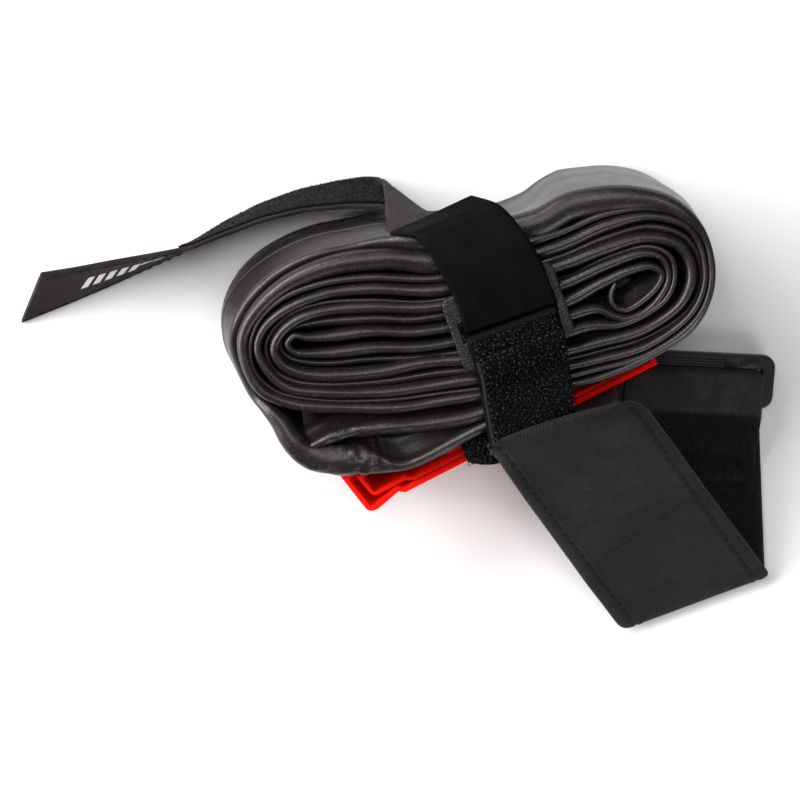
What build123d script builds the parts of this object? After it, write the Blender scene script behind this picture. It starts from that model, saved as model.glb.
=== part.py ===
"""Rolled bicycle inner tube on its carrying strap, with a nested pair of tyre levers.

The roll lies on its side. X runs along the roll, Y across it and Z up from the surface it lies on.
The tube strap goes once round the roll; the frame strap hangs off its -Y side, folds over at the
top, ramps down to the surface and folds back under itself to a wide ring. The tube strap's free
end leaves the roll on its +Y side and stands on edge towards -X.
"""
from build123d import *
from math import cos, radians, sin
import os

os.makedirs("parts", exist_ok=True)

# ---------------------------------------------------------------- driving dimensions, millimetres
CLEAR = 0.3                    # gap between soft pieces that touch on the real object

ROLL_HEIGHT = 55.0             # flat width of the tube, now standing upright
ROLL_EDGE = 2.5                # rounding of the roll's two rims
STRAP_CHANNEL = 4.3            # how far the soft roll sits down around the straps below it

STRAP_WIDTH = 30.0             # tube strap
STRAP_THICK = 1.6
FRAME_WIDTH = 52.0             # frame strap
FRAME_THICK = 1.8
TAPE_THICK = 1.0               # hook tape and loop tape sewn on the straps

RING_LENGTH = 37.0             # small ring of the tube strap
RING_HEIGHT = 24.5
RING_THICK = 3.0
RING_SLOT = (30.9, 6.2)
RING_CENTRE = (11.3, 3.75)
RING_TURN = 5.0

BUCKLE_LENGTH = 54.5           # wide ring of the frame strap
BUCKLE_HEIGHT = 18.0
BUCKLE_THICK = 4.0
BUCKLE_CENTRE = (69.0, -43.4)
BUCKLE_TURN = -18.0
BUCKLE_FLOOR = 2.6
BUCKLE_OPENING = 45.6          # length of both slots
TAB_WIDTH = 44.6
TAB_THICK = 1.2

LEVER_TURN = 12.3              # levers and frame strap stand turned by this about Z
LEVER_ORIGIN = (10.0, -36.0)
LEVER_LOW, LEVER_HIGH = 22.0, 46.0
LEVER_WALL = 1.7
INNER_WALL = 1.3
LEVER_FLOOR = 2.0
LEVER_RIM = 0.4                # rounding of the rims

STEM_RADIUS = 3.0              # valve, standing in the hollow of the roll's inner loop
VALVE_AT = (50.4, 1.2)
VALVE_BASE = 5.0

Z_UP = (0, 0, 1)


def heading(turn):
    """Unit vector in the XY plane, turned from +X."""
    return Vector(cos(radians(turn)), sin(radians(turn)), 0)


def turned(turn, origin, along, out):
    """Point reached from origin along and across a turned direction, as x and y."""
    spot = Vector(*origin) + heading(turn) * along + heading(turn + 90) * out
    return spot.X, spot.Y


def upright(turn, origin, height=0.0):
    """Horizontal plane turned about Z."""
    return Plane(origin=(origin[0], origin[1], height), x_dir=heading(turn), z_dir=Z_UP)


def side_on(turn, origin, offset=0.0):
    """Vertical plane whose x runs across the strap's length and whose y is up."""
    along = heading(turn)
    across = heading(turn + 90)
    start = Vector(origin[0], origin[1], 0) + along * offset
    return Plane(origin=start, x_dir=across, z_dir=along)


def ribbon(stations, width, thick):
    """Flat strap lofted through stations of (x, y, z, turn of its width about Z)."""
    points = [Vector(*station[:3]) for station in stations]
    runs = [(b - a).normalized() for a, b in zip(points, points[1:])]
    with BuildPart() as strap:
        for index, station in enumerate(stations):
            before = runs[max(index - 1, 0)]
            after = runs[min(index, len(runs) - 1)]
            across = heading(station[3])
            tangent = (before + after).normalized()
            tangent = (tangent - across * tangent.dot(across)).normalized()
            mitre = max(tangent.dot(after), 0.5)
            with BuildSketch(Plane(origin=points[index], x_dir=across, z_dir=tangent)):
                Rectangle(width, thick / mitre)
        loft(ruled=True)
    return strap


def finish(piece, name):
    """Label a finished piece and write it."""
    piece.part.label = name
    export_step(piece.part, f"parts/{name}.step")


# ---------------------------------------------------------------- the rolled inner tube
ROLL_OUTLINE = [
    (-75, 14), (-73, 28), (-60, 37), (-36, 36.8), (-18, 33.4), (-1, 35.2), (14, 36.8), (38, 37.2),
    (60, 31), (77, 15), (78.5, -3), (66, -18), (40, -27), (8, -31.0), (-14, -35.6), (-40, -39),
    (-60, -31), (-70, -10),
]
LEVER_POCKET = [(-110, -20), (110, -20), (110, 9.0), (-24, 9.0), (-44, 15.0), (-110, 15.0)]

with BuildPart() as roll:
    with BuildSketch():
        with BuildLine():
            Spline(*ROLL_OUTLINE, periodic=True)
        make_face()
    extrude(amount=ROLL_HEIGHT)
    rims = roll.faces().filter_by(Axis.Z).edges()
    fillet(rims, radius=ROLL_EDGE)
    # the levers press their own channel into the roll's side
    with BuildSketch(upright(LEVER_TURN, LEVER_ORIGIN, LEVER_LOW - 0.4)):
        with BuildLine():
            Polyline(*LEVER_POCKET, close=True)
        make_face()
    extrude(amount=LEVER_HIGH - LEVER_LOW + 0.8, mode=Mode.SUBTRACT)
    # channel below, for the straps that pass under the roll
    with BuildSketch(upright(LEVER_TURN, (13.0, 0.0))):
        Rectangle(FRAME_WIDTH + 16, 120)
    extrude(amount=STRAP_CHANNEL, mode=Mode.SUBTRACT)
    # hollow of the inner loop, where the valve stands
    with BuildSketch(upright(-30, VALVE_AT)):
        SlotOverall(19, 11)
    extrude(amount=ROLL_HEIGHT, mode=Mode.SUBTRACT)
finish(roll, "inner_tube")

# ---------------------------------------------------------------- valve
with BuildPart() as patch:
    with BuildSketch(upright(-30, VALVE_AT, VALVE_BASE)):
        SlotOverall(16, 9)
    extrude(amount=1.6)
    with BuildSketch(upright(0, VALVE_AT, VALVE_BASE)):
        Circle(STEM_RADIUS - 0.6)
    extrude(amount=1.6, mode=Mode.SUBTRACT)
finish(patch, "valve_patch")

STEM_TOP = VALVE_BASE + 30.0
with BuildPart() as stem:
    with BuildSketch(upright(0, VALVE_AT, VALVE_BASE + 1.6)):
        Circle(STEM_RADIUS)
        Circle(1.6, mode=Mode.SUBTRACT)
    extrude(amount=STEM_TOP - VALVE_BASE - 1.6)
    with BuildSketch(upright(0, VALVE_AT, VALVE_BASE - 1.4)):
        Circle(STEM_RADIUS + 1.2)
        Circle(1.6, mode=Mode.SUBTRACT)
    extrude(amount=1.4)
    with BuildSketch(upright(0, VALVE_AT, VALVE_BASE)):
        Circle(STEM_RADIUS - 0.6)
        Circle(1.6, mode=Mode.SUBTRACT)
    extrude(amount=1.6)
finish(stem, "valve_stem")

with BuildPart() as core:
    with BuildSketch(upright(0, VALVE_AT, STEM_TOP - 16)):
        Circle(1.6)
    extrude(amount=16)
    with BuildSketch(upright(0, VALVE_AT, STEM_TOP)):
        Circle(2.1)
    extrude(amount=1.2)
    with BuildSketch(upright(0, VALVE_AT, STEM_TOP + 1.2)):
        Circle(0.7)
    extrude(amount=5.2)
finish(core, "valve_core")

with BuildPart() as core_nut:
    with BuildSketch(upright(0, VALVE_AT, STEM_TOP + 3.0)):
        Circle(1.7)
        Circle(0.7, mode=Mode.SUBTRACT)
    extrude(amount=2.4)
finish(core_nut, "valve_core_nut")

with BuildPart() as rim_nut:
    with BuildSketch(upright(0, VALVE_AT, VALVE_BASE + 1.6)):
        RegularPolygon(radius=4.5, side_count=6)
        Circle(STEM_RADIUS, mode=Mode.SUBTRACT)
    extrude(amount=2.6)
finish(rim_nut, "rim_nut")

CAP_LOW = STEM_TOP - 6.0
with BuildPart() as cap:
    with BuildSketch(upright(0, VALVE_AT, CAP_LOW)):
        Circle(4.0)
    extrude(amount=15.0)
    fillet(cap.faces().sort_by(Axis.Z)[-1].edges(), radius=2.4)
    with BuildSketch(upright(0, VALVE_AT, CAP_LOW)):
        Circle(STEM_RADIUS + 0.15)
    extrude(amount=13.4, mode=Mode.SUBTRACT)
finish(cap, "valve_cap")

# ---------------------------------------------------------------- tyre levers, nested trays on edge
OUTER_LEVER = [
    (-61.0, 14.0), (-58.4, -0.7), (-55.0, -0.7), (-46.8, 1.3), (-45.0, 0.0), (45.5, 0.0),
    (45.5, 8.0), (-25.0, 8.0), (-45.0, 14.0),
]
INNER_LEVER = [
    (-56.6, 12.0), (-54.8, 3.4), (-51.6, 3.4), (-43.0, 3.4), (-40.5, 2.1), (43.4, 2.1),
    (43.4, 6.0), (-26.0, 6.0), (-45.6, 12.0),
]
LEVER_NOSE = 1                 # outline corner with the large rounding


def lever(outline, low, high, wall, nose_radius):
    """Tray standing on its long edge, hollow from above."""
    with BuildPart() as tray:
        with BuildSketch(upright(LEVER_TURN, LEVER_ORIGIN, low)):
            with BuildLine():
                Polyline(*outline, close=True)
            make_face()
        extrude(amount=high - low)
        nose = Vector(*turned(LEVER_TURN, LEVER_ORIGIN, *outline[LEVER_NOSE]), low)
        fillet(tray.edges().filter_by(Axis.Z).sort_by_distance(nose)[0], radius=nose_radius)
        with BuildSketch(upright(LEVER_TURN, LEVER_ORIGIN, low + LEVER_FLOOR)) as hollow:
            with BuildLine():
                Polyline(*outline, close=True)
            make_face()
            offset(amount=-wall, mode=Mode.REPLACE, kind=Kind.INTERSECTION)
            fillet(hollow.vertices(), radius=0.6)
        extrude(amount=high - low, mode=Mode.SUBTRACT)
        rim = tray.faces().sort_by(Axis.Z)[-1].edges()
        fillet(rim, radius=LEVER_RIM)
    return tray


outer_lever = lever(OUTER_LEVER, LEVER_LOW, LEVER_HIGH, LEVER_WALL, 2.6)
finish(outer_lever, "tyre_lever_outer")

inner_low = LEVER_LOW + LEVER_FLOOR + 0.2
inner_lever = lever(INNER_LEVER, inner_low, LEVER_HIGH, INNER_WALL, 2.0)
finish(inner_lever, "tyre_lever_inner")

# ---------------------------------------------------------------- small ring of the tube strap
RING_LOW = ROLL_HEIGHT + 2 * CLEAR + STRAP_THICK
with BuildPart() as small_ring:
    with BuildSketch(upright(RING_TURN, RING_CENTRE, RING_LOW)):
        RectangleRounded(RING_LENGTH, RING_HEIGHT, 3.0)
        Rectangle(*RING_SLOT, mode=Mode.SUBTRACT)
    extrude(amount=RING_THICK)
    fillet(small_ring.faces().filter_by(Axis.Z).edges(), radius=0.9)
finish(small_ring, "tube_strap_ring")

# ---------------------------------------------------------------- tube strap
UNDER = ROLL_HEIGHT + CLEAR + STRAP_THICK / 2               # strap between roll and ring
OVER = RING_LOW + RING_THICK + CLEAR + STRAP_THICK / 2      # strap on top of the ring
BELOW = FRAME_THICK + CLEAR + STRAP_THICK / 2               # strap under the roll
FRONT = -(CLEAR + STRAP_THICK / 2)                          # strap outside the levers


def beside_levers(along, out):
    """Point in the levers' own turned directions, as x and y."""
    return turned(LEVER_TURN, LEVER_ORIGIN, along, out)


front_x, front_y = beside_levers(-0.5, FRONT)
STRAP_ROUTE = [
    (11.9, -5.0, UNDER, 5), (11.4, 1.9, UNDER, 5), (11.4, 1.9, OVER, 5), (11.9, -9.6, OVER, 6),
    (11.6, -15.5, UNDER + 0.3, 8), (10.4, -31.6, UNDER + 0.4, 11), (9.8, -35.6, 53.4, 12.3),
    (front_x, front_y, 47.0, 12.3), (front_x, front_y, BELOW, 12.3), (3.6, 37.4, BELOW, 7.6),
    (-0.7, 37.4, 53.4, 7.6), (-0.2, 35.0, UNDER + 0.4, 7.6), (10.8, 14.0, UNDER, 6),
    (11.0, 5.8, UNDER, 5), (11.0, 5.8, OVER, 5), (10.0, 16.6, OVER, 5), (3.0, 30.0, UNDER + 2.6, 7),
    (-0.5, 37.0, UNDER + 2.0, 7.6), (-2.6, 40.4, 52.0, 7.6), (-5.6, 40.4, 30.0, 7.6),
]
tube_strap = ribbon(STRAP_ROUTE, STRAP_WIDTH, STRAP_THICK)
finish(tube_strap, "tube_strap")

# hook tape sewn on the outside of the strap's fixed end
HOOK_LIFT = STRAP_THICK / 2 + TAPE_THICK / 2
HOOK_ROUTE = [
    (11.9, -10.2, OVER + HOOK_LIFT, 6), (11.6, -16.2, UNDER + 0.5 + HOOK_LIFT, 8),
    (10.5, -27.5, UNDER + 0.4 + HOOK_LIFT, 11),
]
tube_hook_tape = ribbon(HOOK_ROUTE, STRAP_WIDTH - 3, TAPE_THICK - 0.1)
finish(tube_hook_tape, "tube_strap_hook_tape")

# ---------------------------------------------------------------- free end of the tube strap
# bottom edge x, y and top edge x, y, z along the free end, from its fold to its tip
TAIL_EDGES = [
    ((-17.5, 48.2, 0.4), (-16.0, 43.6, 30.0)), ((-42.0, 50.0, 0.4), (-43.0, 48.4, 30.0)),
    ((-62.0, 47.4, 0.4), (-62.0, 46.9, 30.0)), ((-80.0, 43.0, 0.4), (-79.0, 45.6, 29.6)),
    ((-110.0, 37.6, 0.4), (-107.0, 48.6, 27.6)), ((-142.5, 33.2, 0.4), (-129.0, 50.0, 21.6)),
]
with BuildPart() as tail:
    for low, high in TAIL_EDGES:
        middle = (Vector(*low) + Vector(*high)) * 0.5
        across = (Vector(*high) - Vector(*low)).normalized()
        with BuildSketch(Plane(origin=middle, x_dir=across, z_dir=across.cross(Vector(0, 1, 0)))):
            Rectangle((Vector(*high) - Vector(*low)).length, STRAP_THICK)
    loft(ruled=True)
finish(tail, "tube_strap_tail")

# ---------------------------------------------------------------- frame strap
FRAME_OUT = FRONT - STRAP_THICK / 2 - CLEAR - FRAME_THICK / 2
FRAME_ALONG = 6.5              # middle of the strap, along the levers
CREST = 59.8                   # height of the fold at the top
HINGE_GAP = 1.4                # from a fold's axis to the solids on both sides of it
SKEW = cos(radians(10.6))      # the front flap leaves its folds at a slant
CREST_WIDTH = FRAME_WIDTH / SKEW
FOLD = (52.5, -121.0, 2.4)     # middle of the lower fold
FOLD_TURN = 6.4

wall_x, wall_y = beside_levers(FRAME_ALONG, FRAME_OUT)
end_x, end_y = beside_levers(FRAME_ALONG, 46.0)
BASE_ROUTE = [
    (wall_x, wall_y, CREST - 2.0, LEVER_TURN), (wall_x, wall_y, FRAME_THICK / 2, LEVER_TURN),
    (end_x, end_y, FRAME_THICK / 2, LEVER_TURN),
]
frame_base = ribbon(BASE_ROUTE, CREST_WIDTH, FRAME_THICK)
finish(frame_base, "frame_strap_base")

crest_axis = Vector(*beside_levers(FRAME_ALONG, FRAME_OUT - 0.5), CREST)
ramp = (Vector(*FOLD) - crest_axis).normalized()
ramp_top = crest_axis + ramp * HINGE_GAP
ramp_foot = Vector(*FOLD) - ramp * 2 * HINGE_GAP
front_flap = ribbon([(*ramp_top, LEVER_TURN), (*ramp_foot, FOLD_TURN)], CREST_WIDTH, FRAME_THICK)
finish(front_flap, "frame_strap_front_flap")


def in_buckle(along, out):
    """Point in the wide ring's own turned directions, as x and y."""
    return turned(BUCKLE_TURN, BUCKLE_CENTRE, along, out)


RETURN_Z = FRAME_THICK / 2 + 0.1
RETURN_END = -26.0             # where the return flap stops and the ring's tab goes on
RETURN_WIDTH = FRAME_WIDTH - 4
RETURN_ROUTE = [
    (FOLD[0] + 0.3, FOLD[1] + HINGE_GAP, RETURN_Z, FOLD_TURN),
    (*in_buckle(1.0, RETURN_END), RETURN_Z, -14.0),
]
return_flap = ribbon(RETURN_ROUTE, RETURN_WIDTH, FRAME_THICK)
finish(return_flap, "frame_strap_return_flap")

# ---------------------------------------------------------------- wide ring and its sewn tab
TAB_Z = RETURN_Z + FRAME_THICK / 2 + TAB_THICK / 2 + 0.05
TAB_TOP = BUCKLE_FLOOR + BUCKLE_THICK + 1.7
with BuildPart() as wide_ring:
    with BuildSketch(upright(BUCKLE_TURN, BUCKLE_CENTRE, BUCKLE_FLOOR)):
        RectangleRounded(BUCKLE_LENGTH, BUCKLE_HEIGHT, 4.0)
        with Locations((0, 2.2)):
            Rectangle(BUCKLE_OPENING, 4.4, mode=Mode.SUBTRACT)
        with Locations((0, -5.2)):
            Rectangle(BUCKLE_OPENING, 2.4, mode=Mode.SUBTRACT)
    extrude(amount=BUCKLE_THICK)
    fillet(wide_ring.faces().filter_by(Axis.Z).edges(), radius=0.8)
finish(wide_ring, "frame_strap_ring")

# the tab laps onto the return flap, rises over the lower bar and loops round the middle bar
TAB_PATH = [
    (RETURN_END - 6, TAB_Z), (RETURN_END, TAB_Z), (-11.0, TAB_TOP), (-3.6, TAB_TOP), (1.6, 7.2),
    (1.6, 1.5), (-5.2, 1.4), (-5.2, 6.7),
]
with BuildPart() as tab:
    with BuildSketch(side_on(BUCKLE_TURN, BUCKLE_CENTRE, -TAB_WIDTH / 2)):
        with BuildLine():
            Polyline(*TAB_PATH)
        trace(line_width=TAB_THICK)
    extrude(amount=TAB_WIDTH)
finish(tab, "frame_strap_ring_tab")

# loop tape, from the lower fold over the return flap and up the tab
ON_FLAP = RETURN_Z + FRAME_THICK / 2 + TAPE_THICK / 2 + 0.15
ON_TAB = TAB_THICK / 2 + TAPE_THICK / 2 + 0.4
TAPE_ROUTE = [
    (53.6, -115.0, ON_FLAP, 4.0), (*in_buckle(1.0, RETURN_END - 10.0), ON_FLAP, -16.0),
    (*in_buckle(0.4, RETURN_END - 7.2), TAB_Z + ON_TAB, BUCKLE_TURN),
    (*in_buckle(0.2, RETURN_END - 0.4), TAB_Z + ON_TAB, BUCKLE_TURN),
    (*in_buckle(0.0, -11.6), TAB_TOP + ON_TAB + 0.1, BUCKLE_TURN),
]
loop_tape = ribbon(TAPE_ROUTE, TAB_WIDTH - 3, TAPE_THICK)
finish(loop_tape, "frame_strap_loop_tape")
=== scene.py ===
import math

import bpy
import numpy as np
from mathutils import Matrix, Vector


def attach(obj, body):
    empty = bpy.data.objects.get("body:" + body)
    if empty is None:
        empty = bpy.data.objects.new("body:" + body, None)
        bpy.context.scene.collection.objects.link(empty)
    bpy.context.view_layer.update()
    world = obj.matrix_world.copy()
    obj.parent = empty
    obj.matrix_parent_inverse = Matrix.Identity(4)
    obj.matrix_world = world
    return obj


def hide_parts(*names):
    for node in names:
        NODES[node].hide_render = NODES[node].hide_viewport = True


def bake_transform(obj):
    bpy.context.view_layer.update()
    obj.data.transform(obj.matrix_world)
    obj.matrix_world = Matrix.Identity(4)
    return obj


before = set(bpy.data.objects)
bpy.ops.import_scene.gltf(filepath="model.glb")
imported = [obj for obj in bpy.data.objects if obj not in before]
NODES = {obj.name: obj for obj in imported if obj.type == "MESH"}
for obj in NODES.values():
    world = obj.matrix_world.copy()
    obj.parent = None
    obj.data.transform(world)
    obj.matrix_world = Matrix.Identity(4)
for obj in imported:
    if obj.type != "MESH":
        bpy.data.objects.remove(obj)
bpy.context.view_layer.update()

# Lengths below are in millimetres unless a comment says otherwise; MM turns them into metres.
MM = 0.001
CORNERS = ((-1, -1), (1, -1), (1, 1), (-1, 1))

# ---------- driving dimensions, as in the CAD
ROLL_HEIGHT = 55.0
STRAP_WIDTH = 30.0
STRAP_THICK = 1.6
FRAME_WIDTH = 52.0
FRAME_THICK = 1.8
TAPE_THICK = 1.0
CLEAR = 0.3
LEVER_TURN = 12.3
LEVER_ORIGIN = (10, -36)
LEVER_BAND = (21.6, 46.4)  # heights between which the levers press into the roll
BUCKLE_TURN = -18.0
BUCKLE_CENTRE = (69, -43.4)
BUCKLE_FLOOR = 2.6
BUCKLE_THICK = 4.0
RING_THICK = 3.0
RING_TOP = ROLL_HEIGHT + 2 * CLEAR + STRAP_THICK + RING_THICK


# ---------- small geometry helpers
def heading(turn):
    """Unit vector in the XY plane, turned from +X."""
    return np.array([math.cos(math.radians(turn)), math.sin(math.radians(turn)), 0])


def turned(turn, origin, along, out):
    """Point reached from origin along and across a turned direction, as x and y."""
    spot = np.array([*origin, 0]) + heading(turn) * along + heading(turn + 90) * out
    return spot[0], spot[1]


def beside_levers(along, out):
    return turned(LEVER_TURN, LEVER_ORIGIN, along, out)


def in_buckle(along, out):
    return turned(BUCKLE_TURN, BUCKLE_CENTRE, along, out)


def unit(vectors):
    return vectors / np.maximum(np.linalg.norm(vectors, axis=-1, keepdims=True), 1e-9)


def smoothstep(low, high, values):
    t = np.clip((values - low) / (high - low), 0, 1)
    return t * t * (3 - 2 * t)


def along_line(points, axes, step):
    """Even spacing along a dense line, measured on its first axes; the other columns ride along."""
    runs = np.linalg.norm(np.diff(points[:, :axes], axis=0), axis=1)
    length = np.concatenate([[0], np.cumsum(runs)])
    even = np.linspace(0, length[-1], max(int(length[-1] / step), 2) + 1)
    return np.column_stack([np.interp(even, length, points[:, c]) for c in range(points.shape[1])])


def through(points, axes, step):
    """Smooth curve through points, evenly spaced."""
    p = np.array(points, float)
    gaps = np.sqrt(np.linalg.norm(np.diff(p[:, :axes], axis=0), axis=1))
    t = np.concatenate([[0], np.cumsum(gaps)])
    slope = np.gradient(p, t, axis=0)
    fine = np.linspace(0, t[-1], 60 * len(p))
    i = np.clip(np.searchsorted(t, fine, side="right") - 1, 0, len(t) - 2)
    h = (t[i + 1] - t[i])[:, None]
    s = ((fine - t[i]) / h[:, 0])[:, None]
    curve = (
        (1 + 2 * s) * (1 - s) ** 2 * p[i] + s * (1 - s) ** 2 * h * slope[i]
        + s * s * (3 - 2 * s) * p[i + 1] + s * s * (s - 1) * h * slope[i + 1]
    )
    return along_line(curve, axes, step)


def rounded(points, step, radius):
    """Straight runs through points with their corners rounded by a moving mean."""
    line = along_line(np.array(points, float), 3, step)
    window = max(int(radius / step), 1)
    for _ in range(2):
        padded = np.concatenate([np.repeat(line[:1], window, 0), line, np.repeat(line[-1:], window, 0)])
        sums = np.cumsum(np.concatenate([np.zeros((1, line.shape[1])), padded]), axis=0)
        mean = (sums[2 * window + 1:] - sums[:-2 * window - 1]) / (2 * window + 1)
        ends = np.minimum(np.arange(len(line)), np.arange(len(line))[::-1])[:, None] / window
        hold = np.clip(ends, 0, 1)
        line = line * (1 - hold) + mean * hold
    return line


def ripple(points, scale, seed):
    """Smooth noise between about -1 and 1: a few sine waves in random directions."""
    waves = 7
    chance = np.random.default_rng(seed)
    total = np.zeros(points.shape[:-1])
    for _ in range(waves):
        direction = unit(chance.normal(size=3)) * 2 * math.pi / (scale * chance.uniform(0.7, 1.5))
        total += np.sin(points @ direction + chance.uniform(0, 2 * math.pi))
    return total / math.sqrt(waves * 0.5) * 0.5


def new_object(name, data):
    made = bpy.data.objects.new(name, data)
    bpy.context.scene.collection.objects.link(made)
    return made


def mesh_piece(name, points, faces, look, cloth=None):
    """Mesh object from points in millimetres. cloth is each point's place on its cloth, in metres."""
    mesh = bpy.data.meshes.new(name)
    mesh.from_pydata([tuple(p) for p in np.asarray(points) * MM], [], faces)
    mesh.polygons.foreach_set("use_smooth", [True] * len(mesh.polygons))
    if cloth is not None:
        layer = mesh.attributes.new("cloth", "FLOAT_VECTOR", "POINT")
        layer.data.foreach_set("vector", np.asarray(cloth, np.float32).ravel())
    mesh.materials.append(look)
    mesh.set_sharp_from_angle(angle=math.radians(72))
    mesh.update()
    return new_object(name, mesh)


def side_faces(rows, ring, start=0):
    """Quads between rows of closed rings of points."""
    return [(a + k, a + (k + 1) % ring, a + ring + (k + 1) % ring, a + ring + k)
            for a in range(start, start + (rows - 1) * ring, ring) for k in range(ring)]


def loft_faces(rows, ring, start=0):
    """Side faces with a cap at each end that joins points k and ring - k."""
    faces = side_faces(rows, ring, start)
    last = start + (rows - 1) * ring
    for k in range(ring // 2):
        quad = (k, k + 1, (ring - k - 1) % ring, (ring - k) % ring)
        corners = list(dict.fromkeys(quad))
        if len(corners) > 2:
            faces.append(tuple(start + c for c in reversed(corners)))
            faces.append(tuple(last + c for c in corners))
    return faces


def loft(name, rings, look, cloth=None):
    rows, ring, _ = rings.shape
    return mesh_piece(name, rings.reshape(-1, 3), loft_faces(rows, ring), look, cloth)


# ---------- materials
class Look:
    """Thin wrapper over a Principled material. Distances and noise scales here are in metres."""

    def __init__(self, name, colour, roughness, specular=0.5, metallic=0):
        self.material = bpy.data.materials.new(name)
        self.material.use_nodes = True
        self.tree = self.material.node_tree
        self.shader = self.tree.nodes["Principled BSDF"]
        self.put(Base_Color=(*colour, 1), Roughness=roughness, Specular_IOR_Level=specular,
                 Metallic=metallic)

    def put(self, **inputs):
        """Plain values, the same all over, on the shader's own sockets."""
        for key, value in inputs.items():
            self.shader.inputs[key.replace("_", " ")].default_value = value

    def feed(self, socket, value):
        """A link into a socket, or a plain value on it."""
        if isinstance(value, bpy.types.NodeSocket):
            self.tree.links.new(value, socket)
        else:
            socket.default_value = value

    def node(self, kind, settings=None, **inputs):
        made = self.tree.nodes.new("ShaderNode" + kind)
        for key, value in (settings or {}).items():
            setattr(made, key, value)
        for key, value in inputs.items():
            self.feed(made.inputs[key.replace("_", " ")], value)
        return made

    def place(self):
        """Position on the object, in metres."""
        return self.node("TexCoord").outputs["Object"]

    def cloth(self):
        """Place on the cloth: across, along and side, in metres."""
        return self.node("Attribute", {"attribute_name": "cloth"}).outputs["Vector"]

    def noise(self, vector, scale, detail, roughness=0.5):
        made = self.node("TexNoise", Vector=vector, Scale=scale, Detail=detail, Roughness=roughness)
        return made.outputs["Fac"]

    def stretched(self, vector, scale):
        return self.node("Mapping", Vector=vector, Scale=scale).outputs["Vector"]

    def ramp(self, fac, low, high, span=(0.3, 0.7)):
        """Runs from one colour or value to another over a span of fac."""
        made = self.node("ValToRGB", Fac=fac)
        for element, position, colour in zip(made.color_ramp.elements, span, (low, high)):
            element.position = position
            element.color = (*(np.ones(3) * colour), 1)
        return made.outputs["Color"]

    def clouds(self, vector, scale, detail, low, high, roughness=0.5, span=(0.3, 0.7)):
        """Noise that runs from one colour or value to another."""
        return self.ramp(self.noise(vector, scale, detail, roughness), low, high, span)

    def bands(self, vector, direction, scale, distortion, detail=0):
        made = self.node("TexWave", {"wave_type": "BANDS", "bands_direction": direction},
                         Vector=vector, Scale=scale, Distortion=distortion, Detail=detail)
        return made.outputs["Fac"]

    def mix(self, share, first, second):
        """The first colour, with the second over it where share is 1."""
        return self.node("MixRGB", Fac=share, Color1=first, Color2=(*second, 1)).outputs["Color"]

    def math(self, operation, a, b):
        made = self.node("Math", {"operation": operation})
        self.feed(made.inputs[0], a)
        self.feed(made.inputs[1], b)
        return made.outputs["Value"]

    def colour(self, socket):
        self.feed(self.shader.inputs["Base Color"], socket)

    def roughness(self, socket):
        self.feed(self.shader.inputs["Roughness"], socket)

    def bump(self, height, distance, strength):
        made = self.node("Bump", Height=height, Distance=distance, Strength=strength)
        normal = self.shader.inputs["Normal"]
        if normal.links:
            self.feed(made.inputs["Normal"], normal.links[0].from_socket)
        self.feed(normal, made.outputs["Normal"])


def rubber_look():
    look = Look("rubber", (0.012, 0.009, 0.0093), 0.36, 0.56)
    place = look.place()
    base = look.clouds(place, 70, 8, (0.004, 0.0029, 0.0031), (0.018, 0.013, 0.0135), 0.78)
    dust = look.clouds(place, 1500, 2, 0, 1, span=(0.64, 0.74))
    look.colour(look.mix(dust, base, (0.075, 0.07, 0.07)))
    look.roughness(look.clouds(place, 240, 6, 0.31, 0.42, 0.7))
    look.put(Specular_Tint=(1, 0.95, 0.95, 1))
    look.bump(look.noise(place, 1300, 3, 0.6), 0.00013, 0.7)
    look.bump(look.noise(place, 160, 3), 0.0003, 0.25)
    return look.material


def smooth_strap_look():
    look = Look("strap_smooth", (0.002, 0.002, 0.0017), 0.55, 0.05)
    cloth = look.cloth()
    look.colour(look.clouds(cloth, 90, 4, (0.0016, 0.0016, 0.0014), (0.0034, 0.0033, 0.003)))
    look.roughness(look.clouds(cloth, 300, 4, 0.46, 0.6))
    grain = look.noise(look.stretched(cloth, (1, 0.35, 1)), 2600, 3, 0.6)
    look.bump(grain, 0.00008, 0.6)
    return look.material


def twill_look(name, dark, light, pitch, wear=0, specular=0.2):
    """Fine diagonal weave in the cloth's own directions, with cloudy, paler worn places."""
    look = Look(name, light, 0.72, specular)
    cloth = look.cloth()
    diagonal = look.bands(cloth, "DIAGONAL", 0.42 / pitch, 0.4, 1)
    across = look.bands(cloth, "X", 0.31 / pitch, 0.3)
    weave = look.math("MULTIPLY", diagonal, across)
    cloud = look.noise(cloth, 34, 6, 0.65)
    speckle = look.noise(cloth, 1500, 3, 0.7)
    shade = look.math("ADD", look.math("MULTIPLY", cloud, 0.6), look.math("MULTIPLY", speckle, 0.4))
    plain = look.ramp(shade, dark, light, (0.4, 0.6))
    worn = look.clouds(cloth, 24, 6, 0, 0.55, 0.7, (0.48, 0.72))
    faded = [min(channel * 2.2, 1) for channel in light]
    look.colour(look.mix(worn, plain, faded))
    look.roughness(look.ramp(cloud, 0.62, 0.78))
    look.bump(weave, 0.00026, 0.8)
    look.bump(speckle, 0.0002, 0.7)
    if wear:
        look.put(Sheen_Weight=wear, Sheen_Roughness=0.45, Sheen_Tint=(1, 0.95, 0.96, 1))
    return look.material


def thread_look(name, dark, light):
    look = Look(name, (light, light, light), 0.6, 0.2)
    place = look.place()
    look.colour(look.clouds(place, 1800, 2, dark, light))
    look.bump(look.noise(place, 4000, 2), 0.0001, 0.5)
    return look.material


def hook_look():
    look = Look("hook_tape", (0.01, 0.01, 0.01), 0.32, 0.28)
    place = look.place()
    look.colour(look.clouds(place, 700, 2, (0.0014, 0.0013, 0.0013), (0.016, 0.0145, 0.0145),
                            span=(0.4, 0.62)))
    look.roughness(look.clouds(place, 500, 2, 0.28, 0.5))
    return look.material


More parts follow.
